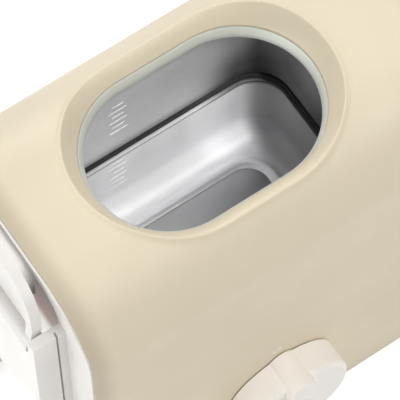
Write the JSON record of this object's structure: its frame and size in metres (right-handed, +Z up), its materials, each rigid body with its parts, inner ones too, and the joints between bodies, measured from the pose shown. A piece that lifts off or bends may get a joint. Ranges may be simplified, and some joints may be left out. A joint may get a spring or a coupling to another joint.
{
  "type": "steam cooker base",
  "caption": "Countertop steam cooker base in cream plastic with an open stainless steam tank, front knob and white rocker latches at its ends.",
  "frame": {"origin": "on the table plane under the feet, at the middle of the overall box", "axes": "+Z up, X along the body with the tank nearer -X, front with the knob at -Y"},
  "size_m": [0.247, 0.151, 0.241],
  "materials": {
    "shell_cream": "satin moulded",
    "white_plastic": "satin moulded",
    "knob_white": "satin moulded",
    "base_grey": "fine texture",
    "rubber_grey": "matt",
    "silicone": "translucent satin",
    "tank_steel": "brushed satin",
    "screw_steel": "plated",
    "cast_alu": "as cast",
    "brass": "plain",
    "black_plastic": "matt",
    "board_green": "coated",
    "wire_brown": "matt",
    "wire_blue": "matt"
  },
  "bodies": {
    "base": {"outer_shell": "shell_cream", "left_end_panel": "white_plastic", "right_end_panel": "white_plastic", "base_plate": "base_grey", "rubber_feet": "rubber_grey", "base_screws": "screw_steel", "tank_seal": "silicone", "tank_upper": "tank_steel", "tank_lower": "tank_steel", "seam_gasket": "rubber_grey", "tank_posts": "base_grey", "tank_screws": "screw_steel", "heating_plate": "cast_alu", "heater_element": "screw_steel", "heater_terminals": "brass", "thermostat": "black_plastic", "thermal_fuse": "screw_steel", "heat_shield": "screw_steel", "switch_body": "black_plastic", "switch_nut": "screw_steel", "control_board": "board_green", "board_standoffs": "base_grey", "board_screws": "screw_steel", "board_relay": "black_plastic", "terminal_block": "white_plastic", "live_lead": "wire_brown", "neutral_lead": "wire_blue", "cord_gland": "black_plastic", "gland_nut": "black_plastic", "left_latch_pins": "screw_steel", "right_latch_pins": "screw_steel"},
    "knob": {"control_knob": "knob_white", "switch_shaft": "screw_steel"},
    "left_latch": {"left_latch": "white_plastic"},
    "right_latch": {"right_latch": "white_plastic"}
  },
  "joints": [
    {"name": "knob_turn", "type": "hinge", "parent": "base", "child": "knob", "pos_m": [-0.0065, -0.06145, 0.06], "axis": [0, -1, 0], "range_deg": [-60, 60]},
    {"name": "left_latch_press", "type": "hinge", "parent": "base", "child": "left_latch", "pos_m": [-0.1185, 0.00855, 0.208], "axis": [0, -1, 0], "range_deg": [0, 6], "stiffness_Nm_per_rad": 1.5, "springref_deg": -6.88},
    {"name": "right_latch_press", "type": "hinge", "parent": "base", "child": "right_latch", "pos_m": [0.1185, 0.00855, 0.208], "axis": [0, 1, 0], "range_deg": [0, 6], "stiffness_Nm_per_rad": 1.5, "springref_deg": -6.88}
  ]
}
